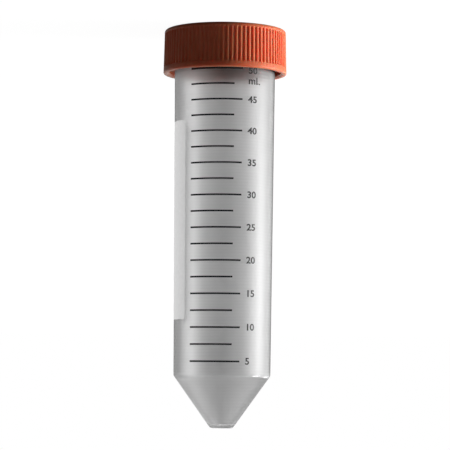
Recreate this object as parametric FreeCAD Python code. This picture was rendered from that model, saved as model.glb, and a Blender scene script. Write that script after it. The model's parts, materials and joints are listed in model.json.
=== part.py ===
import FreeCAD, Part
import math
import os

# A 50 ml conical tube closed by its screw cap, in millimetres. Z is the axis.
# It stands on its cap: the cap's flat top is at Z = 0 and the cone's tip points up.

# Overall
overall_length = 114.0  # flat top of the cap to the tip of the cone

# Tube: one moulding with a constant wall
neck_radius = 14.4  # outside of the neck, between the turns of its thread
neck_wall = 1.1
body_wall = 1.0
draft_deg = 0.4  # the body narrows towards the cone, to leave its mould
cone_half_angle_deg = 35.5
tip_radius = 3.2  # where the cone's side would meet the flat of the tip
floor_thickness = 1.2  # solid plastic at the tip
rim_chamfer = 0.3  # breaks the rim's inner and outer edge
shoulder_rounding = 1.5
tip_rounding = 1.2
bore_taper_length = 1.5  # where the neck's bore opens out to the body's

# Thread on the neck: one right-hand start with a trapezoid section
thread_height = 1.2
thread_pitch = 3.2
thread_turns = 1.75
thread_root_width = 1.5
thread_crest_width = 0.6
thread_start = 2.4  # rim to the middle of the first turn
thread_sink = 0.3  # how deep the ridge is rooted in the neck's wall

# Cap: one moulding with a plug ring that seals the mouth
cap_height = 12.7
cap_top_thickness = 1.4
cap_draft_deg = 1.2  # the skirt widens towards its foot
cap_edge_rounding = 0.8
skirt_wall = 1.65  # at the foot, over the ribs
skirt_foot_chamfer = 0.4
skirt_lead_in = 0.6  # chamfer that guides the thread in
thread_clearance = 0.45  # crest of the thread to the skirt's bore, all round
plug_depth = 3.6
plug_wall = 0.9
plug_clearance = 0.06  # running fit of the plug ring in the mouth, radial
plug_lead_in = 0.35
gate_radius = 1.6  # dimple that keeps the moulding gate's mark off the flat top
gate_depth = 0.3

# Ribs: the lands between grooves that are moulded into the skirt
rib_count = 86
groove_depth = 0.4
groove_mouth_width = 0.7
groove_floor_width = 0.35
groove_top_margin = 1.0  # plain band at the cap's top
groove_foot_margin = 1.65  # plain band at the skirt's foot

# Worked out from the sizes above
rim_z = cap_top_thickness  # the rim meets the underside of the cap's top
mouth_radius = neck_radius - neck_wall
neck_end_z = cap_height
land_end_z = neck_end_z - bore_taper_length

cone_slope = math.tan(math.radians(cone_half_angle_deg))
draft_slope = math.tan(math.radians(draft_deg))
# The body's side and the cone's side meet where both have this radius.
shoulder_z = (
    overall_length * cone_slope + tip_radius - neck_radius - neck_end_z * draft_slope
) / (cone_slope - draft_slope)
shoulder_radius = neck_radius - (shoulder_z - neck_end_z) * draft_slope

# The inner cone runs parallel to the outer one, a wall's thickness inside it.
cone_inset = body_wall / math.cos(math.radians(cone_half_angle_deg))
floor_z = overall_length - floor_thickness
floor_radius = tip_radius + floor_thickness * cone_slope - cone_inset
inner_shoulder_z = shoulder_z + (cone_inset - body_wall) / (cone_slope - draft_slope)
inner_shoulder_radius = (
    shoulder_radius - body_wall - (inner_shoulder_z - shoulder_z) * draft_slope
)

thread_crest_radius = neck_radius + thread_height
skirt_bore_radius = thread_crest_radius + thread_clearance
cap_foot_radius = skirt_bore_radius + skirt_wall
cap_draft_slope = math.tan(math.radians(cap_draft_deg))
cap_top_radius = cap_foot_radius - cap_height * cap_draft_slope
plug_radius = mouth_radius - plug_clearance
plug_end_z = cap_top_thickness + plug_depth

axis = FreeCAD.Vector(0, 0, 1)
origin = FreeCAD.Vector(0, 0, 0)
steepest_draft_deg = 3  # a side that leans more than this is a plain cone


def section_point(radius, height):
    """A point of a half section, which lies in the XZ plane."""
    return FreeCAD.Vector(radius, 0, height)


def rounded_corner(before, corner, after, rounding):
    """The start, middle and end of the arc that rounds a corner."""
    back = (before - corner).normalize()
    ahead = (after - corner).normalize()
    half_angle = back.getAngle(ahead) / 2
    reach = rounding / math.tan(half_angle)
    middle = (back + ahead).normalize() * (rounding / math.sin(half_angle) - rounding)
    return corner + back * reach, corner + middle, corner + ahead * reach


def straight_side(start, end):
    """A straight edge of a half section.

    A drafted side is drawn as a spline: the face that it sweeps takes far fewer
    facets than the long thin cone that a line would give.
    """
    line = Part.LineSegment(start, end)
    lean = abs(end.x - start.x)
    drafted = 0 < lean < abs(end.z - start.z) * math.tan(math.radians(steepest_draft_deg))
    return line.toBSpline().toShape() if drafted else line.toShape()


def turned(outline):
    """The solid of a closed half section, given as corners (radius, height, rounding)."""
    corners = [section_point(radius, height) for radius, height, _ in outline]
    arcs = []
    for i, (_, _, rounding) in enumerate(outline):
        before = corners[i - 1]
        after = corners[(i + 1) % len(corners)]
        if rounding:
            arcs.append(rounded_corner(before, corners[i], after, rounding))
        else:
            arcs.append((corners[i], None, corners[i]))
    edges = []
    for i, (start, middle, end) in enumerate(arcs):
        if middle:
            edges.append(Part.Arc(start, middle, end).toShape())
        following = arcs[(i + 1) % len(arcs)][0]
        edges.append(straight_side(end, following))
    return Part.Face(Part.Wire(edges)).revolve(origin, axis, 360)


def thread_ridge():
    """The helical ridge on the neck, rooted in its wall."""
    turns_length = thread_pitch * thread_turns
    root_radius = neck_radius - thread_sink
    helix = Part.makeHelix(thread_pitch, turns_length, neck_radius)
    half_root = thread_root_width / 2
    half_crest = thread_crest_width / 2
    section = Part.makePolygon(
        [
            section_point(root_radius, -half_root),
            section_point(thread_crest_radius, -half_crest),
            section_point(thread_crest_radius, half_crest),
            section_point(root_radius, half_root),
            section_point(root_radius, -half_root),
        ]
    )
    ridge = Part.Wire(helix).makePipeShell([section], True, True)
    ridge.translate(section_point(0, rim_z + thread_start))
    return ridge


def tube():
    """Neck, body, cone and tip as one wall, with the thread on the neck."""
    wall = turned(
        [
            (0, floor_z, 0),
            (floor_radius, floor_z, 0),
            (inner_shoulder_radius, inner_shoulder_z, shoulder_rounding),
            (neck_radius - body_wall, neck_end_z, 0),
            (mouth_radius, land_end_z, 0),
            (mouth_radius, rim_z + rim_chamfer, 0),
            (mouth_radius + rim_chamfer, rim_z, 0),
            (neck_radius - rim_chamfer, rim_z, 0),
            (neck_radius, rim_z + rim_chamfer, 0),
            (neck_radius, neck_end_z, 0),
            (shoulder_radius, shoulder_z, shoulder_rounding),
            (tip_radius, overall_length, tip_rounding),
            (0, overall_length, 0),
        ]
    )
    return wall.fuse(thread_ridge()).removeSplitter()


def groove_cutter():
    """One groove of the skirt, which leans outwards with the skirt's side."""
    low = groove_top_margin
    high = cap_height - groove_foot_margin
    crest_radius = cap_top_radius + low * cap_draft_slope
    floor = crest_radius - groove_depth
    # The cutter's sides go on past the crest at the same slant.
    overshoot = groove_depth
    side_slope = (groove_mouth_width - groove_floor_width) / 2 / groove_depth
    outer = crest_radius + overshoot
    outer_half = groove_mouth_width / 2 + overshoot * side_slope
    floor_half = groove_floor_width / 2
    profile = Part.makePolygon(
        [
            FreeCAD.Vector(floor, -floor_half, low),
            FreeCAD.Vector(outer, -outer_half, low),
            FreeCAD.Vector(outer, outer_half, low),
            FreeCAD.Vector(floor, floor_half, low),
            FreeCAD.Vector(floor, -floor_half, low),
        ]
    )
    length = high - low
    return Part.Face(profile).extrude(
        FreeCAD.Vector(length * cap_draft_slope, 0, length)
    )


def cap():
    """Top plate, skirt and plug ring, with the grooves that leave the ribs."""
    foot_lead_radius = skirt_bore_radius + skirt_lead_in
    foot_chamfer_radius = cap_foot_radius - skirt_foot_chamfer * cap_draft_slope
    shell = turned(
        [
            (0, 0, 0),
            (cap_top_radius, 0, cap_edge_rounding),
            (foot_chamfer_radius, cap_height - skirt_foot_chamfer, 0),
            (cap_foot_radius - skirt_foot_chamfer, cap_height, 0),
            (foot_lead_radius, cap_height, 0),
            (skirt_bore_radius, cap_height - skirt_lead_in, 0),
            (skirt_bore_radius, cap_top_thickness, 0),
            (plug_radius, cap_top_thickness, 0),
            (plug_radius, plug_end_z - plug_lead_in, 0),
            (plug_radius - plug_lead_in, plug_end_z, 0),
            (plug_radius - plug_wall, plug_end_z, 0),
            (plug_radius - plug_wall, cap_top_thickness, 0),
            (0, cap_top_thickness, 0),
        ]
    )
    cutter = groove_cutter()
    grooves = [
        cutter.rotated(origin, axis, i * 360 / rib_count) for i in range(rib_count)
    ]
    gate = Part.makeCylinder(gate_radius, gate_depth)
    return shell.cut(grooves + [gate])


os.makedirs("parts", exist_ok=True)
tube().exportStep("parts/tube.step")
cap().exportStep("parts/cap.step")
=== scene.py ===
import json
import math

import bmesh
import bpy
import numpy as np
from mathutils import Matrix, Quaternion, Vector


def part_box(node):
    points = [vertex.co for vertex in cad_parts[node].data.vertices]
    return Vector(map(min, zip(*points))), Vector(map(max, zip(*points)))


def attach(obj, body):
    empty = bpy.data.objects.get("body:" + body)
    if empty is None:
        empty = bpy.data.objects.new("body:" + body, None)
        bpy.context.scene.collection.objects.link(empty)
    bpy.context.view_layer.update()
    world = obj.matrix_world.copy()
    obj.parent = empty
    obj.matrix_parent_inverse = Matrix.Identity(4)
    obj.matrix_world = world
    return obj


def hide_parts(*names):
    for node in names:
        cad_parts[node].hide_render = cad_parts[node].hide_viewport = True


# A capped 50 ml conical tube, which stands on its cap. Z is its axis, and Z = 0 is
# the cap's flat top. "Facing" angles go round the axis: 0 faces the camera, on -Y,
# and 90 faces -X, which is the right of the picture because the camera is rolled.

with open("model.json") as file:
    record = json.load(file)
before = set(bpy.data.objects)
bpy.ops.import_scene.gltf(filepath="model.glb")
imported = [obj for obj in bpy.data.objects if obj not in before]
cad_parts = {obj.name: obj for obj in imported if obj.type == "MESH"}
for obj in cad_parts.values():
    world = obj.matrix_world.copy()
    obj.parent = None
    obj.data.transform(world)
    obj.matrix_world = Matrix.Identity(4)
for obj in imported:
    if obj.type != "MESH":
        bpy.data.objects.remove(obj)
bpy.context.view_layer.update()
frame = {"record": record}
mm = 0.001

# Sizes that the frame gives
overall_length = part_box("tube")[1].z
rim_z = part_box("tube")[0].z
cap_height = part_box("cap")[1].z
cap_foot_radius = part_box("cap")[1].x
mounts = {mount["name"]: mount for mount in frame["record"]["mounts"]}
neck_radius = mounts["body_wall"]["dims"]["r_mm"] * mm

# Tube
neck_wall = 1.1 * mm
body_wall = 1.0 * mm
draft = math.radians(0.4)
cone_half_angle = math.radians(35.5)
tip_radius = 3.2 * mm
floor_thickness = 1.2 * mm
rim_rounding = 0.3 * mm
shoulder_rounding = 1.0 * mm
inner_shoulder_rounding = 0.4 * mm
tip_rounding = 1.2 * mm
floor_rounding = 0.6 * mm
bore_taper_length = 1.5 * mm

# Threads: the tube's ridge and the cap's, which lies halfway between its turns
thread_pitch = 3.2 * mm
thread_root_width = 1.5 * mm
thread_crest_width = 0.6 * mm
thread_run_out = 0.08  # turns over which a ridge rises from the wall
tube_thread_height = 1.2 * mm
tube_thread_start = rim_z + 2.4 * mm
tube_thread_turns = 1.75
cap_thread_height = 1.3 * mm
cap_thread_start = tube_thread_start + thread_pitch / 2
cap_thread_turns = 1.6

# Cap
cap_top_thickness = rim_z
cap_draft = math.radians(1.2)
cap_edge_rounding = 0.8 * mm
skirt_wall = 1.65 * mm
skirt_foot_rounding = 0.4 * mm
skirt_lead_in = 0.6 * mm
plug_depth = 3.6 * mm
plug_wall = 0.9 * mm
plug_clearance = 0.06 * mm
plug_lead_in = 0.35 * mm
plug_rounding = 0.15 * mm
well_rounding = 0.3 * mm  # where the top plate meets the skirt and the plug
gate_radius = 1.6 * mm
gate_depth = 0.3 * mm
gate_floor_share = 0.9  # of the dimple's radius, at its floor
plain_bore_length = 2 * mm  # next to the top plate, clear of the thread
rib_count = 86
rib_height = 0.32 * mm
rib_share = 0.66  # of the pitch that a rib takes, at its root
rib_top_margin = 1.0 * mm
rib_foot_margin = 1.65 * mm
rib_end_length = 0.35 * mm

# Print. Volumes are in millilitres. Drops and raises are as it is read, with the cap on top.
first_mark_ml = 5
last_mark_ml = 50
mark_step_ml = 2.5
numeral_step_ml = 5
fitted_mark_ml = 25  # the mark that print_scale leaves in place
ink_thickness = 0.015 * mm  # of the film on each side of the wall's surface
line_width = 0.48 * mm
top_line_width = 0.6 * mm
line_left = math.radians(-41)
long_line_right = math.radians(20.5)
short_line_right = math.radians(11)
numeral_height = 1.9 * mm
unit_height = 2.0 * mm
numeral_left = math.radians(27.5)
numeral_stretch = 1.18  # how much wider the numerals are than the font's own
numeral_weight = 0.06 * mm  # how far the strokes are thickened to each side
numeral_raise = 0.15 * mm  # of a numeral's middle above its line
capital_share = 0.73  # height of a capital, of the font's size
top_numeral_drop = 0.6 * mm  # the 50 lies lower, so that the cap doesn't hide it
unit_drop = 3.35 * mm
print_offset = 0.1 * mm  # the print sits this much nearer to the tip than the volumes say
print_scale = 0.991  # and is this much shorter
patch_left = math.radians(-128)
patch_right = math.radians(-50)
patch_top_ml = 42.0
patch_bottom_ml = 11.2
patch_corner = 0.5 * mm

# Fineness of the meshes
arc_steps = 6  # straight steps of each rounded corner
columns_round_tube = 256
rows_along_body = 24
thread_row = 0.1 * mm  # height of one row where the thread runs
rib_crest_steps = 8
groove_floor_steps = 4
rib_end_steps = [0, 0.15, 0.35, 0.6, 0.85, 1]  # shares of rib_end_length
inner_column_step = 4  # the cap's inside takes every fourth column of its ribs
line_columns = 32
patch_columns = 40
numeral_curve_steps = 5  # 6 leave open edges in the digit 3
weld_distance = 0.001 * mm
sharp_edge = math.radians(40)  # folds sharper than this are shaded as edges

# Worked out from those sizes
cone_slope = math.tan(cone_half_angle)
draft_slope = math.tan(draft)
shoulder_z = (
    overall_length * cone_slope + tip_radius - neck_radius - cap_height * draft_slope
) / (cone_slope - draft_slope)
shoulder_radius = neck_radius - (shoulder_z - cap_height) * draft_slope
cone_inset = body_wall / math.cos(cone_half_angle)
floor_z = overall_length - floor_thickness
floor_radius = tip_radius + floor_thickness * cone_slope - cone_inset
inner_shoulder_z = shoulder_z + (cone_inset - body_wall) / (cone_slope - draft_slope)
inner_shoulder_radius = (
    shoulder_radius - body_wall - (inner_shoulder_z - shoulder_z) * draft_slope
)
mouth_radius = neck_radius - neck_wall
skirt_bore_radius = cap_foot_radius - skirt_wall
cap_top_radius = cap_foot_radius - cap_height * math.tan(cap_draft)
plug_radius = mouth_radius - plug_clearance
plug_end_z = cap_top_thickness + plug_depth


# Shapes that are turned round the axis


def rounded(section):
    """The points of a half section, (radius, height, rounding) each, with its corners rounded."""
    points = []
    for i, (radius, height, rounding) in enumerate(section):
        corner = Vector((radius, height))
        if not rounding:
            points.append(corner)
            continue
        back = (Vector(section[i - 1][:2]) - corner).normalized()
        ahead = (Vector(section[i + 1][:2]) - corner).normalized()
        half_angle = back.angle(ahead) / 2
        middle = (back + ahead).normalized()
        centre = corner + middle * rounding / math.sin(half_angle)
        reach = rounding / math.tan(half_angle)
        start = corner + back * reach - centre
        end = corner + ahead * reach - centre
        for step in range(arc_steps + 1):
            spoke = start.slerp(end, step / arc_steps).normalized()
            points.append(centre + spoke * rounding)
    return points


def stretch(start, end, steps):
    """Points along a straight side, without its ends."""
    start = Vector(start)
    end = Vector(end)
    return [start.lerp(end, step / steps) for step in range(1, steps)]


def ring(radius, height, angles):
    """The points of one ring. The radius may differ from angle to angle."""
    x = radius * np.cos(angles)
    y = radius * np.sin(angles)
    return np.column_stack([x, y, np.full(len(angles), height)])


def pole(height):
    """A ring that has shrunk to a point on the axis."""
    return np.array([[0.0, 0.0, height]])


def strip(first, first_count, second, second_count):
    """The faces between two rings, given by their first vertex and their vertex count.

    The larger count is a multiple of the smaller one.
    """
    if first_count < second_count:
        return [face[::-1] for face in strip(second, second_count, first, first_count)]
    if second_count == 1:
        return [[first + i, first + (i + 1) % first_count, second] for i in range(first_count)]
    share = first_count // second_count
    faces = []
    for i in range(second_count):
        outer = [first + (i * share + k) % first_count for k in range(share + 1)]
        faces.append(outer + [second + (i + 1) % second_count, second + i])
    return faces


def mesh_object(name, vertices, faces):
    """A smooth-shaded object with its normals facing out."""
    mesh = bpy.data.meshes.new(name)
    mesh.from_pydata(vertices, [], faces)
    work = bmesh.new()
    work.from_mesh(mesh)
    bmesh.ops.recalc_face_normals(work, faces=work.faces)
    work.to_mesh(mesh)
    work.free()
    mesh.shade_smooth()
    mesh.set_sharp_from_angle(angle=sharp_edge)
    made = bpy.data.objects.new(name, mesh)
    bpy.context.scene.collection.objects.link(made)
    return made


def skin(name, rings):
    """A closed mesh through rings, from one pole to the other."""
    starts = np.cumsum([0] + [len(points) for points in rings])
    faces = []
    for i in range(len(rings) - 1):
        faces += strip(int(starts[i]), len(rings[i]), int(starts[i + 1]), len(rings[i + 1]))
    return mesh_object(name, np.concatenate(rings).tolist(), faces)


def ease(share):
    """0 to 1 with a soft start and end."""
    share = np.clip(share, 0, 1)
    return share * share * (3 - 2 * share)


def ridge_height(angles, height, start, turns, crest_height):
    """How far a helical ridge stands out of the wall at one height, angle by angle."""
    turn = (angles / math.tau) % 1
    nearest = np.round((height - start) / thread_pitch - turn)
    along = turn + nearest
    offset = np.abs(height - start - along * thread_pitch)
    flank_width = (thread_root_width - thread_crest_width) / 2
    flank = ease((thread_root_width / 2 - offset) / flank_width)
    ends = ease(along / thread_run_out) * ease((turns - along) / thread_run_out)
    return crest_height * flank * ends


def even_heights(low, high):
    """Heights of the thread's rows, from low to high, both left out."""
    count = round((high - low) / thread_row)
    return [low + (high - low) * i / count for i in range(1, count)]


def body_rings(angles):
    """Rings over the tip, the cone and the body, as far as the neck."""
    outside = rounded(
        [
            (0, overall_length, 0),
            (tip_radius, overall_length, tip_rounding),
            (shoulder_radius, shoulder_z, shoulder_rounding),
            (neck_radius, cap_height, 0),
        ]
    )
    body = stretch(outside[-2], outside[-1], rows_along_body)
    rings = [pole(overall_length)]
    rings += [ring(p.x, p.y, angles) for p in outside[1:-1] + body + outside[-1:]]
    return rings


def neck_rings(angles):
    """Rings over the threaded neck, its rim and its mouth."""
    rim = rounded(
        [
            (neck_radius, cap_height, 0),
            (neck_radius, rim_z, rim_rounding),
            (mouth_radius, rim_z, rim_rounding),
            (mouth_radius, cap_height - bore_taper_length, 0),
        ]
    )
    rings = []
    for height in reversed(even_heights(rim[1].y, cap_height)):
        ridge = ridge_height(
            angles, height, tube_thread_start, tube_thread_turns, tube_thread_height
        )
        rings.append(ring(neck_radius + ridge, height, angles))
    rings += [ring(p.x, p.y, angles) for p in rim[1:]]
    return rings


def bore_rings(angles):
    """Rings over the body's bore and the inside of the cone."""
    inside = rounded(
        [
            (mouth_radius, cap_height - bore_taper_length, 0),
            (neck_radius - body_wall, cap_height, 0),
            (inner_shoulder_radius, inner_shoulder_z, inner_shoulder_rounding),
            (floor_radius, floor_z, floor_rounding),
            (0, floor_z, 0),
        ]
    )
    bore = stretch(inside[1], inside[2], rows_along_body)
    rings = [ring(p.x, p.y, angles) for p in inside[1:2] + bore + inside[2:-1]]
    rings.append(pole(floor_z))
    return rings


def tube_mesh():
    """Neck with its thread, body, cone and tip, and the bore inside them."""
    angles = np.linspace(0, math.tau, columns_round_tube, endpoint=False)
    rings = body_rings(angles) + neck_rings(angles) + bore_rings(angles)
    return skin("tube_moulding", rings)


def rib_columns():
    """Angles of the columns over the ribs, and how deep each lies, from 0 on a crest to 1."""
    shares = []
    depths = []
    for step in range(rib_crest_steps + 1):
        bend = math.pi * (step / rib_crest_steps - 0.5)
        shares.append(rib_share / 2 * math.sin(bend))
        depths.append(1 - math.cos(bend))
    for step in range(1, groove_floor_steps):
        shares.append(rib_share / 2 + (1 - rib_share) * step / groove_floor_steps)
        depths.append(1.0)
    pitch = math.tau / rib_count
    angles = [(rib + share) * pitch for rib in range(rib_count) for share in shares]
    return np.array(angles), np.array(depths * rib_count)


def cap_outside_rings(angles, depths, inner_angles):
    """Rings over the gate's dimple, the cap's edge, its ribs and its foot."""
    side = rounded(
        [
            (gate_radius, 0, 0),
            (cap_top_radius, 0, cap_edge_rounding),
            (cap_foot_radius, cap_height, skirt_foot_rounding),
            (skirt_bore_radius + skirt_lead_in, cap_height, 0),
        ]
    )
    rib_start = rib_top_margin
    rib_end = cap_height - rib_foot_margin
    edge_points = [p for p in side if p.y < rib_start]
    foot_points = [p for p in side if p.y > rib_end]
    rings = [pole(gate_depth)]
    rings += [ring(gate_radius * gate_floor_share, gate_depth, inner_angles)]
    rings += [ring(p.x, p.y, inner_angles) for p in edge_points[:1]]
    rings += [ring(p.x, p.y, angles) for p in edge_points[1:]]
    heights = [rib_start + rib_end_length * step for step in rib_end_steps]
    heights += [rib_end - rib_end_length * step for step in reversed(rib_end_steps)]
    for height in heights:
        depth = ease((height - rib_start) / rib_end_length)
        depth *= ease((rib_end - height) / rib_end_length)
        radius = cap_top_radius + height * math.tan(cap_draft)
        rings.append(ring(radius - rib_height * depths * depth, height, angles))
    rings += [ring(p.x, p.y, angles) for p in foot_points[:-1]]
    rings += [ring(foot_points[-1].x, foot_points[-1].y, inner_angles)]
    return rings


def cap_inside_rings(angles):
    """Rings over the skirt's threaded bore and the plug ring."""
    bore_top = cap_height - skirt_lead_in
    rings = [ring(skirt_bore_radius, bore_top, angles)]
    for height in reversed(even_heights(cap_top_thickness + plain_bore_length, bore_top)):
        ridge = ridge_height(
            angles, height, cap_thread_start, cap_thread_turns, cap_thread_height
        )
        rings.append(ring(skirt_bore_radius - ridge, height, angles))
    well = rounded(
        [
            (skirt_bore_radius, bore_top, 0),
            (skirt_bore_radius, cap_top_thickness, well_rounding),
            (plug_radius, cap_top_thickness, 0),
            (plug_radius, plug_end_z - plug_lead_in, 0),
            (plug_radius - plug_lead_in, plug_end_z, plug_rounding),
            (plug_radius - plug_wall, plug_end_z, plug_rounding),
            (plug_radius - plug_wall, cap_top_thickness, well_rounding),
            (gate_radius, cap_top_thickness, 0),
        ]
    )
    rings += [ring(p.x, p.y, angles) for p in well[1:]]
    rings.append(pole(cap_top_thickness))
    return rings


def cap_mesh():
    """Top plate, ribbed skirt, inner thread and plug ring."""
    angles, depths = rib_columns()
    inner_angles = angles[::inner_column_step]
    rings = cap_outside_rings(angles, depths, inner_angles) + cap_inside_rings(inner_angles)
    return skin("cap_moulding", rings)


# Print on the tube's wall


def wall_radius(height):
    """Outside radius of the tube's body."""
    return neck_radius - (height - cap_height) * draft_slope


def on_wall(facing, height, proud):
    """A point on the body's wall, given by the angle that it faces."""
    radius = wall_radius(height) + proud
    return (-radius * math.sin(facing), -radius * math.cos(facing), height)


def volume_height(millilitres):
    """Height of the level that a volume reaches when the tube hangs tip down."""
    cone_length = floor_z - inner_shoulder_z
    squares = floor_radius**2 + floor_radius * inner_shoulder_radius + inner_shoulder_radius**2
    cone = math.pi * cone_length * squares / 3
    rest = millilitres * mm**2 - cone
    cubed = inner_shoulder_radius**3 + 3 * draft_slope * rest / math.pi
    radius = cubed ** (1 / 3)
    below_shoulder = (radius - inner_shoulder_radius) / draft_slope
    return inner_shoulder_z - below_shoulder


def mark_height(millilitres):
    """Height of a volume's mark."""
    middle = volume_height(fitted_mark_ml)
    return middle + (volume_height(millilitres) - middle) * print_scale + print_offset


def wall_film(columns):
    """Vertices and faces of one closed film of ink. A column is (facing, low, high)."""
    vertices = []
    for proud in (-ink_thickness, ink_thickness):
        for facing, low, high in columns:
            vertices.append(on_wall(facing, low, proud))
            vertices.append(on_wall(facing, high, proud))
    count = len(columns)
    front = 2 * count
    faces = []
    for i in range(count - 1):
        a = 2 * i
        b = a + 2
        faces.append([a, b, b + 1, a + 1])
        faces.append([front + a + 1, front + b + 1, front + b, front + a])
        faces.append([a, front + a, front + b, b])
        faces.append([b + 1, front + b + 1, front + a + 1, a + 1])
    last = 2 * count - 2
    faces.append([0, 1, front + 1, front])
    faces.append([last, front + last, front + last + 1, last + 1])
    return vertices, faces


def graduation_lines():
    """Lines at even volumes: long ones with a numeral, and short ones between them."""
    vertices = []
    faces = []
    for volume in np.arange(first_mark_ml, last_mark_ml + mark_step_ml, mark_step_ml):
        right = short_line_right if volume % numeral_step_ml else long_line_right
        width = top_line_width if volume == last_mark_ml else line_width
        height = mark_height(volume)
        angles = np.linspace(line_left, right, line_columns)
        columns = [(a, height - width / 2, height + width / 2) for a in angles]
        more_vertices, more_faces = wall_film(columns)
        faces += [[len(vertices) + k for k in face] for face in more_faces]
        vertices += more_vertices
    return mesh_object("graduation_lines", vertices, faces)


def writing_patch():
    """The white field for notes, which has rounded corners."""
    low = mark_height(patch_top_ml)
    high = mark_height(patch_bottom_ml)
    corner_angle = patch_corner / neck_radius
    columns = []
    corner_steps = [math.pi / 2 * step / arc_steps for step in range(arc_steps + 1)]
    starts = [patch_left + corner_angle * (1 - math.cos(step)) for step in corner_steps]
    ends = [patch_right - corner_angle * (1 - math.cos(step)) for step in reversed(corner_steps)]
    middle = list(np.linspace(starts[-1], ends[0], patch_columns))[1:-1]
    for facing in starts + middle + ends:
        inwards = min(facing - patch_left, patch_right - facing) / corner_angle
        cut = patch_corner * (1 - math.sqrt(1 - (1 - min(inwards, 1)) ** 2))
        columns.append((facing, low + cut, high - cut))
    return mesh_object("writing_patch", *wall_film(columns))


def lettering(name, words):
    """Plain lettering, wrapped on the wall. A word is (text, letter height, height of its middle)."""
    joined = bmesh.new()
    for text, letter_height, height in words:
        curve = bpy.data.curves.new(name, "FONT")
        curve.body = text
        curve.size = letter_height / capital_share
        curve.extrude = ink_thickness
        curve.offset = numeral_weight
        curve.resolution_u = numeral_curve_steps
        carrier = bpy.data.objects.new(name, curve)
        bpy.context.scene.collection.objects.link(carrier)
        bpy.context.view_layer.update()
        flat = bpy.data.meshes.new_from_object(
            carrier.evaluated_get(bpy.context.evaluated_depsgraph_get())
        )
        for vertex in flat.vertices:
            across, up, proud = vertex.co
            facing = numeral_left + across * numeral_stretch / neck_radius
            vertex.co = on_wall(facing, height + letter_height / 2 - up, proud)
        joined.from_mesh(flat)
        bpy.data.objects.remove(carrier)
        bpy.data.meshes.remove(flat)
    bmesh.ops.remove_doubles(joined, verts=joined.verts, dist=weld_distance)
    bmesh.ops.recalc_face_normals(joined, faces=joined.faces)
    mesh = bpy.data.meshes.new(name)
    joined.to_mesh(mesh)
    joined.free()
    made = bpy.data.objects.new(name, mesh)
    bpy.context.scene.collection.objects.link(made)
    return made


def numerals():
    """The volumes, level with their lines, and the unit under the largest."""
    words = []
    for volume in range(first_mark_ml, last_mark_ml + 1, numeral_step_ml):
        drop = top_numeral_drop if volume == last_mark_ml else 0
        words.append((str(volume), numeral_height, mark_height(volume) + drop - numeral_raise))
    words.append(("mL", unit_height, mark_height(last_mark_ml) + unit_drop))
    return lettering("numerals", words)


# Materials


def new_material(name):
    """An empty node material, and its output node."""
    material = bpy.data.materials.new(name)
    material.use_nodes = True
    material.node_tree.nodes.clear()
    output = material.node_tree.nodes.new("ShaderNodeOutputMaterial")
    return material, output


def node(material, kind, **values):
    """A node of a material with some of its inputs set. Names are written with _ for a space."""
    made = material.node_tree.nodes.new(kind)
    for key, value in values.items():
        made.inputs[key.replace("_", " ")].default_value = value
    return made


def link(material, start, start_name, end, end_name):
    """Joins a named output of one node to a named input of another."""
    material.node_tree.links.new(start.outputs[start_name], end.inputs[end_name])


def feed(tree, source, socket):
    """Sets an input to a number, or joins it to an output."""
    if isinstance(source, (int, float)):
        socket.default_value = source
    else:
        tree.links.new(source, socket)


def math_node(tree, operation, first, second):
    """A Math node over two sources, each an output or a number."""
    made = tree.nodes.new("ShaderNodeMath")
    made.operation = operation
    feed(tree, first, made.inputs[0])
    feed(tree, second, made.inputs[1])
    return made.outputs[0]


def blend(material, share, first, second):
    """A mix of two shaders. The share, an output or a number, is that of the second."""
    made = node(material, "ShaderNodeMixShader")
    feed(material.node_tree, share, made.inputs["Fac"])
    material.node_tree.links.new(first.outputs[0], made.inputs[1])
    material.node_tree.links.new(second.outputs[0], made.inputs[2])
    return made


def colour_between(material, share, first, last):
    """A colour between two others, by a share that is an output."""
    made = node(material, "ShaderNodeMix")
    made.data_type = "RGBA"
    made.inputs["A"].default_value = (*first, 1)
    made.inputs["B"].default_value = (*last, 1)
    material.node_tree.links.new(share, made.inputs["Factor"])
    return made


def remapped(material, source, start, end, first, last):
    """A value that goes from first to last while its source, an output, goes from start to end."""
    made = node(
        material, "ShaderNodeMapRange", From_Min=start, From_Max=end, To_Min=first, To_Max=last
    )
    material.node_tree.links.new(source, made.inputs["Value"])
    return made


def by_height(material, start, end, first, last):
    """A value that changes from first to last between two heights of the object."""
    place = node(material, "ShaderNodeTexCoord")
    parts = node(material, "ShaderNodeSeparateXYZ")
    link(material, place, "Object", parts, "Vector")
    return remapped(material, parts.outputs["Z"], start, end, first, last).outputs["Result"]


def near_height(material, height, span, first, last):
    """A value that changes over a span, (start, end), that is measured from one height."""
    return by_height(material, height + span[0], height + span[1], first, last)


def slant(material, curve=0.5):
    """How a surface is seen: 0 where it is square on, and 1 where it is edge on.

    A curve under 0.5 keeps the value low for longer.
    """
    return node(material, "ShaderNodeLayerWeight", Blend=curve).outputs["Facing"]


noise_detail = 3.0
low_noise = 0.3  # most of a noise lies between these two values
high_noise = 0.7
wave_bands = 20  # Blender's own factor: a wave repeats every tau / 20 of its scaled length


def noise(material, scale, stretch_z=1.0):
    """Noise in the object's own space, in cells of about 1 / scale metres."""
    place = node(material, "ShaderNodeTexCoord")
    mapping = node(material, "ShaderNodeMapping", Scale=(1, 1, stretch_z))
    made = node(material, "ShaderNodeTexNoise", Scale=scale, Detail=noise_detail)
    link(material, place, "Object", mapping, "Vector")
    link(material, mapping, "Vector", made, "Vector")
    return made


def machined_rings(material, pitch):
    """Uneven rings round the axis, as a turned mould leaves them."""
    place = node(material, "ShaderNodeTexCoord")
    made = node(material, "ShaderNodeTexWave", Distortion=1.5, Detail=2.0, Detail_Scale=0.1)
    made.bands_direction = "Z"
    made.inputs["Scale"].default_value = math.tau / wave_bands / pitch
    link(material, place, "Object", made, "Vector")
    return made


def ranged(material, texture, low, high):
    """Turns a texture's value into a range of values."""
    return remapped(material, texture.outputs["Fac"], low_noise, high_noise, low, high)


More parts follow.
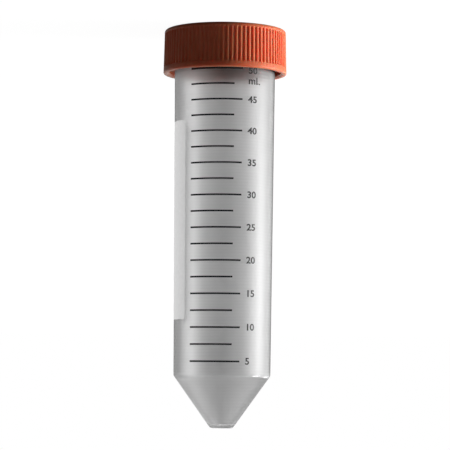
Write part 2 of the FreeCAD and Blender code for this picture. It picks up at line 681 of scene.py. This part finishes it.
def bumped(material, texture, shader, distance):
    """Lets a texture raise the surface by up to a distance."""
    made = node(material, "ShaderNodeBump", Distance=distance)
    link(material, texture, "Fac", made, "Height")
    link(material, made, "Normal", shader, "Normal")


turned_aside_slant = (0.48, 0.96)  # where light starts to be turned aside, and where nearly all is
slanted_share = 0.02  # of the light still passes there
neck_shade_length = 1.5 * mm  # over which the neck's share changes to the body's


def lit_through(material, output, shader, share, neck_share=None):
    """Ends a see-through material: lamps and scattered light pass it unbent, by this share.

    Light that meets the wall at a steep slant is turned aside, as in a real tube.
    """
    tree = material.node_tree
    ray = tree.nodes.new("ShaderNodeLightPath")
    unbent = math_node(
        tree, "MAXIMUM", ray.outputs["Is Shadow Ray"], ray.outputs["Is Diffuse Ray"]
    )
    passed = remapped(material, slant(material), *turned_aside_slant, share, slanted_share)
    passed.interpolation_type = "SMOOTHSTEP"
    if neck_share is not None:
        fade_end = cap_height + neck_shade_length
        low_share = by_height(material, cap_height, fade_end, neck_share, share)
        tree.links.new(low_share, passed.inputs["To Min"])
    passing = node(material, "ShaderNodeBsdfTransparent")
    link(material, passed, "Result", passing, "Color")
    both = blend(material, unbent, shader, passing)
    link(material, both, "Shader", output, "Surface")


plastic_ior = 1.49

# The cap's plastic
orange = (0.62, 0.150, 0.066)
light_orange = (0.68, 0.170, 0.078)
orange_blotch_scale = 260
orange_roughness = (0.36, 0.46)
orange_roughness_scale = 900
orange_grain_scale = 5000
orange_grain_height = 0.004 * mm


def orange_plastic():
    """Satin moulded plastic, a little blotchy, with a fine grain."""
    material, output = new_material("satin_orange")
    # Red light spreads furthest inside the wall, so that shaded grooves turn red.
    shader = node(
        material,
        "ShaderNodeBsdfPrincipled",
        IOR=plastic_ior,
        Specular_IOR_Level=0.5,
        Specular_Tint=(1, 0.2, 0.15, 1),
        Subsurface_Weight=1.0,
        Subsurface_Radius=(1.0, 0.2, 0.1),
        Subsurface_Scale=2 * mm,
        Sheen_Weight=0.1,
        Sheen_Roughness=0.75,
        Sheen_Tint=(1, 0.87, 0.5, 1),
    )
    tone = ranged(material, noise(material, orange_blotch_scale), 0, 1)
    colour = colour_between(material, tone.outputs["Result"], orange, light_orange)
    link(material, colour, "Result", shader, "Base Color")
    roughness = ranged(material, noise(material, orange_roughness_scale), *orange_roughness)
    link(material, roughness, "Result", shader, "Roughness")
    bumped(material, noise(material, orange_grain_scale), shader, orange_grain_height)
    link(material, shader, "BSDF", output, "Surface")
    return material


# The tube's plastic. A slant is 0 where a surface is seen square on, and 1 where edge on.
clear_roughness = 0.28
gloss_roughness = 0.47
gloss_ior = 1.42
mould_ring_pitch = 0.9 * mm
mould_ring_height = 0.012 * mm
short_way_tone = (0.975, 0.975, 0.975)
long_way_tone = (0.153, 0.153, 0.153)
long_way_slant = (0.15, 0.80)
long_way_curve = 0.35
cone_tint = 0.25  # how much of that darkening the cone has
edge_fade_slant = (0.34, 0.76)
haze_tone = (0.60, 0.66)
haze_from_behind = 0.71
haze_clouds = (0.26, 0.34)  # share of haze where it is thinnest and thickest
haze_scale = 60
haze_stretch = 0.6
neck_haze = 0.8  # of the body's, at the cap's foot
neck_haze_length = 8 * mm
painted_side_light = 0.5  # of the haze, thinned where the body is seen a little aslant: painted light, as bright side bands
side_slant = (0.10, 0.20)
shoulder_span = (-1 * mm, 1 * mm)  # over which the body's look changes to the cone's
tip_brightness = 0.4
tip_span = (-0.2 * mm, 0.3 * mm)  # from the bore's floor
fold_brightness = 0.22
fold_scale = 110
fold_start_span = (-0.5 * mm, 0.1 * mm)  # from the shoulder, like the next one
fold_end_span = (0.2 * mm, 0.8 * mm)
light_through_wall = 0.93  # share that passes unbent, like the next one
light_through_neck = 0.5


def clear_wall(material, rings, edge_fade):
    """Rough refraction, darker where it is seen at a slant, and a gloss on it."""
    tree = material.node_tree
    bent = node(material, "ShaderNodeBsdfRefraction", IOR=plastic_ior, Roughness=clear_roughness)
    mirrored = node(material, "ShaderNodeBsdfGlossy", Roughness=gloss_roughness)
    bumped(material, rings, bent, mould_ring_height)
    bumped(material, rings, mirrored, mould_ring_height)
    # Seen at a slant, light takes a longer way through the wall and comes out darker.
    long_way = remapped(material, slant(material, long_way_curve), *long_way_slant, 0, 1)
    tinted = near_height(material, shoulder_z, shoulder_span, 1, cone_tint)
    darkening = math_node(tree, "MULTIPLY", long_way.outputs["Result"], tinted)
    tint = colour_between(material, darkening, short_way_tone, long_way_tone)
    link(material, tint, "Result", bent, "Color")
    gloss = node(material, "ShaderNodeFresnel", IOR=gloss_ior)
    glossy_share = math_node(tree, "MULTIPLY", gloss.outputs["Fac"], edge_fade)
    return blend(material, glossy_share, bent, mirrored)


def haze(material, rings):
    """Light that the wall scatters, back and through."""
    tone = ranged(material, rings, *haze_tone)
    reflected = node(material, "ShaderNodeBsdfDiffuse")
    passed = node(material, "ShaderNodeBsdfTranslucent")
    link(material, tone, "Result", reflected, "Color")
    link(material, tone, "Result", passed, "Color")
    return blend(material, haze_from_behind, reflected, passed)


def hazy_share(material, edge_fade):
    """How much of the wall is haze: in soft clouds, less of it close to the cap, and less where the
    body is seen a little aslant, which paints bright bands there.
    """
    tree = material.node_tree
    cloud = ranged(material, noise(material, haze_scale, haze_stretch), *haze_clouds)
    clearing_end = cap_height + neck_haze_length
    clearing = by_height(material, cap_height, clearing_end, neck_haze, 1)
    hazy = math_node(tree, "MULTIPLY", cloud.outputs["Result"], clearing)
    # Painted light: seen a little aslant, the body shows less haze and more of the white behind it,
    # as bright bands at its sides.
    aslant = remapped(material, slant(material), *side_slant, 0, painted_side_light)
    painted_side_bands = math_node(tree, "MULTIPLY", aslant.outputs["Result"], edge_fade)
    on_body = near_height(material, shoulder_z, shoulder_span, 1, 0)
    painted_side_light_on_body = math_node(tree, "MULTIPLY", painted_side_bands, on_body)
    return math_node(tree, "MULTIPLY", hazy, math_node(tree, "SUBTRACT", 1, painted_side_light_on_body))


def bright_share(material):
    """Painted light: plain transparency, which shows the white behind, where light that ran inside
    the wall comes out, at the tip and the shoulder's fold.
    """
    tree = material.node_tree
    tip = near_height(material, floor_z, tip_span, 0, tip_brightness)
    fold_start = near_height(material, shoulder_z, fold_start_span, 0, 1)
    fold_end = near_height(material, shoulder_z, fold_end_span, 1, 0)
    fold = math_node(tree, "MULTIPLY", fold_start, fold_end)
    # The fold is brighter in some places than in others.
    uneven = ranged(material, noise(material, fold_scale), 0, fold_brightness)
    uneven_fold = math_node(tree, "MULTIPLY", fold, uneven.outputs["Result"])
    return math_node(tree, "MAXIMUM", tip, uneven_fold)


def clear_plastic():
    """Clear moulded plastic with a haze, which scatters part of the light at each surface."""
    material, output = new_material("hazy_polypropylene")
    rings = machined_rings(material, mould_ring_pitch)
    # Gloss and the painted side light fade towards the edge, where light runs along inside the wall.
    fade = remapped(material, slant(material), *edge_fade_slant, 1, 0)
    edge_fade = fade.outputs["Result"]
    clear = clear_wall(material, rings, edge_fade)
    body = blend(material, hazy_share(material, edge_fade), clear, haze(material, rings))
    # Plain transparency, for the painted light at the tip and the fold.
    unbent = node(material, "ShaderNodeBsdfTransparent")
    wall = blend(material, bright_share(material), body, unbent)
    lit_through(material, output, wall, light_through_wall, light_through_neck)
    return material


# The inks
ink_grain_scale = 6000
ink_grain_height = 0.003 * mm
black = (0.012, 0.012, 0.013)
worn_black = (0.0238, 0.0238, 0.02495)
black_wear_scale = 1500
black_roughness = (0.44, 0.56)
black_roughness_scale = 3000
white_tone = (0.76, 0.80)
white_tone_scale = 900
white_from_behind = 0.7
light_through_white = 0.92


def black_ink():
    """A matt film of printing ink with a slightly uneven surface."""
    material, output = new_material("black_ink")
    shader = node(material, "ShaderNodeBsdfPrincipled", Specular_IOR_Level=0.2)
    wear = ranged(material, noise(material, black_wear_scale), 0, 1)
    colour = colour_between(material, wear.outputs["Result"], black, worn_black)
    link(material, colour, "Result", shader, "Base Color")
    roughness = ranged(material, noise(material, black_roughness_scale), *black_roughness)
    link(material, roughness, "Result", shader, "Roughness")
    bumped(material, noise(material, ink_grain_scale), shader, ink_grain_height)
    link(material, shader, "BSDF", output, "Surface")
    return material


def white_ink():
    """An opaque-looking film that still lets light from behind through."""
    material, output = new_material("white_ink")
    tone = ranged(material, noise(material, white_tone_scale), *white_tone)
    front = node(material, "ShaderNodeBsdfDiffuse", Roughness=0.5)
    behind = node(material, "ShaderNodeBsdfTranslucent")
    link(material, tone, "Result", front, "Color")
    link(material, tone, "Result", behind, "Color")
    bumped(material, noise(material, ink_grain_scale), front, ink_grain_height)
    film = blend(material, white_from_behind, front, behind)
    lit_through(material, output, film, light_through_white)
    return material


# Studio

floor_half_width = 4.0
floor_drop = 0.02 * mm  # under the object, so that the two don't share a plane
floor_tone = 0.12
camera_place = (0, -0.630, 0.1011)  # fitted to the photograph, like the next three values
camera_aim = (-0.00046, 0, 0.05604)
camera_lens = 176.4  # in millimetres, for the sensor's width
camera_lean = 0.0101  # radians, on top of the half turn
sensor_width = 36
nearest_seen = 0.01
furthest_seen = 20


def seen_directly(tree):
    """1 for camera, glossy and clear transmission rays, and 0 for scattered light."""
    ray = tree.nodes.new("ShaderNodeLightPath")
    mirrored = math_node(tree, "MAXIMUM", ray.outputs["Is Camera Ray"], ray.outputs["Is Glossy Ray"])
    direct = math_node(tree, "MAXIMUM", mirrored, ray.outputs["Is Transmission Ray"])
    unscattered = math_node(tree, "SUBTRACT", 1, ray.outputs["Is Diffuse Ray"])
    return math_node(tree, "MULTIPLY", direct, unscattered)


def white_world(fill):
    """White where it is seen, and a low fill light for everything else."""
    world = bpy.data.worlds.new("studio")
    world.use_nodes = True
    bpy.context.scene.world = world
    tree = world.node_tree
    background = tree.nodes["Background"]
    background.inputs["Color"].default_value = (1, 1, 1, 1)
    strength = tree.nodes.new("ShaderNodeMapRange")
    strength.inputs["To Min"].default_value = fill
    strength.inputs["To Max"].default_value = 1.0
    tree.links.new(seen_directly(tree), strength.inputs["Value"])
    tree.links.new(strength.outputs["Result"], background.inputs["Strength"])


def floor_material(glow, painted_shade_mirror_glow, pool_radius):
    """Glows white, but for a pool round the middle, where the object's shadow shows, and where mirror
    rays see painted shade.
    """
    material, output = new_material("floor")
    diffuse = node(material, "ShaderNodeBsdfDiffuse", Color=(floor_tone, floor_tone, floor_tone, 1))
    emission = node(material, "ShaderNodeEmission", Color=(1, 1, 1, 1))
    tree = material.node_tree
    place = node(material, "ShaderNodeTexCoord")
    reach = node(material, "ShaderNodeVectorMath")
    reach.operation = "LENGTH"
    link(material, place, "Object", reach, "Vector")
    away = reach.outputs["Value"]
    pool = remapped(material, away, pool_radius / 2, pool_radius, glow, 1)
    # Painted shade: mirror rays see the floor close to the object glowing only faintly, in place of
    # the object's shade on it.
    shaded = remapped(material, away, pool_radius / 2, pool_radius, painted_shade_mirror_glow, 1)
    ray = tree.nodes.new("ShaderNodeLightPath")
    bounced = math_node(
        tree, "SUBTRACT", ray.outputs["Is Glossy Ray"], ray.outputs["Is Transmission Ray"]
    )
    chosen = node(material, "ShaderNodeMapRange")
    tree.links.new(bounced, chosen.inputs["Value"])
    link(material, pool, "Result", chosen, "To Min")
    link(material, shaded, "Result", chosen, "To Max")
    strength = math_node(tree, "MULTIPLY", seen_directly(tree), chosen.outputs["Result"])
    tree.links.new(strength, emission.inputs["Strength"])
    total = node(material, "ShaderNodeAddShader")
    tree.links.new(diffuse.outputs[0], total.inputs[0])
    tree.links.new(emission.outputs[0], total.inputs[1])
    link(material, total, "Shader", output, "Surface")
    return material


def pale_floor(glow, painted_shade_mirror_glow, pool_radius):
    """A floor that reads white, keeps the object's shadow in a pool round its middle, and shows
    painted shade to mirror rays there.
    """
    sides = [(-1, -1), (1, -1), (1, 1), (-1, 1)]
    corners = [(x * floor_half_width, y * floor_half_width, -floor_drop) for x, y in sides]
    floor = mesh_object("floor", corners, [[0, 1, 2, 3]])
    floor.data.materials.append(floor_material(glow, painted_shade_mirror_glow, pool_radius))


def softbox(name, facing_degrees, height, distance, size, glow):
    """A lamp aimed at the object's middle, unseen itself, even through clear plastic.

    Its size is (width, height).
    """
    data = bpy.data.lights.new(name, "AREA")
    data.shape = "RECTANGLE"
    data.size, data.size_y = size
    data.energy = glow * math.pi * size[0] * size[1]
    lamp = bpy.data.objects.new(name, data)
    facing = math.radians(facing_degrees)
    lamp.location = (-distance * math.sin(facing), -distance * math.cos(facing), height)
    aim = Vector((0, 0, overall_length / 2)) - lamp.location
    lamp.rotation_euler = aim.to_track_quat("-Z", "Y").to_euler()
    lamp.visible_camera = False
    lamp.visible_transmission = False
    bpy.context.scene.collection.objects.link(lamp)


def camera():
    """The photograph's view, from near the tip's level. It is rolled so that the cap is on top."""
    data = bpy.data.cameras.new("camera")
    data.sensor_width = sensor_width
    data.lens = camera_lens
    data.clip_start = nearest_seen
    data.clip_end = furthest_seen
    made = bpy.data.objects.new("camera", data)
    bpy.context.scene.collection.objects.link(made)
    bpy.context.scene.camera = made
    made.location = camera_place
    upright = (Vector(camera_aim) - made.location).to_track_quat("-Z", "Y")
    made.rotation_mode = "QUATERNION"
    made.rotation_quaternion = upright @ Quaternion((0, 0, 1), math.pi + camera_lean)


def dress(piece, body, material, replaced=None):
    """Gives a piece its material, its body and the solid that it replaces."""
    piece.data.materials.append(material)
    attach(piece, body)
    if replaced:
        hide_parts(replaced)


camera()
white_world(fill=0.11)
pale_floor(glow=0.96, painted_shade_mirror_glow=0.1, pool_radius=0.25)
softbox("key", facing_degrees=91.5, height=0.06, distance=0.5, size=(0.22, 0.115), glow=56.5)
softbox("overhead", facing_degrees=90, height=0.6, distance=0.1, size=(0.3, 0.3), glow=3)

dress(tube_mesh(), "tube", clear_plastic(), "tube")
dress(cap_mesh(), "cap", orange_plastic(), "cap")
mark_ink = black_ink()
dress(graduation_lines(), "tube", mark_ink)
dress(numerals(), "tube", mark_ink)
dress(writing_patch(), "tube", white_ink())

bpy.context.scene.view_settings.view_transform = "Standard"
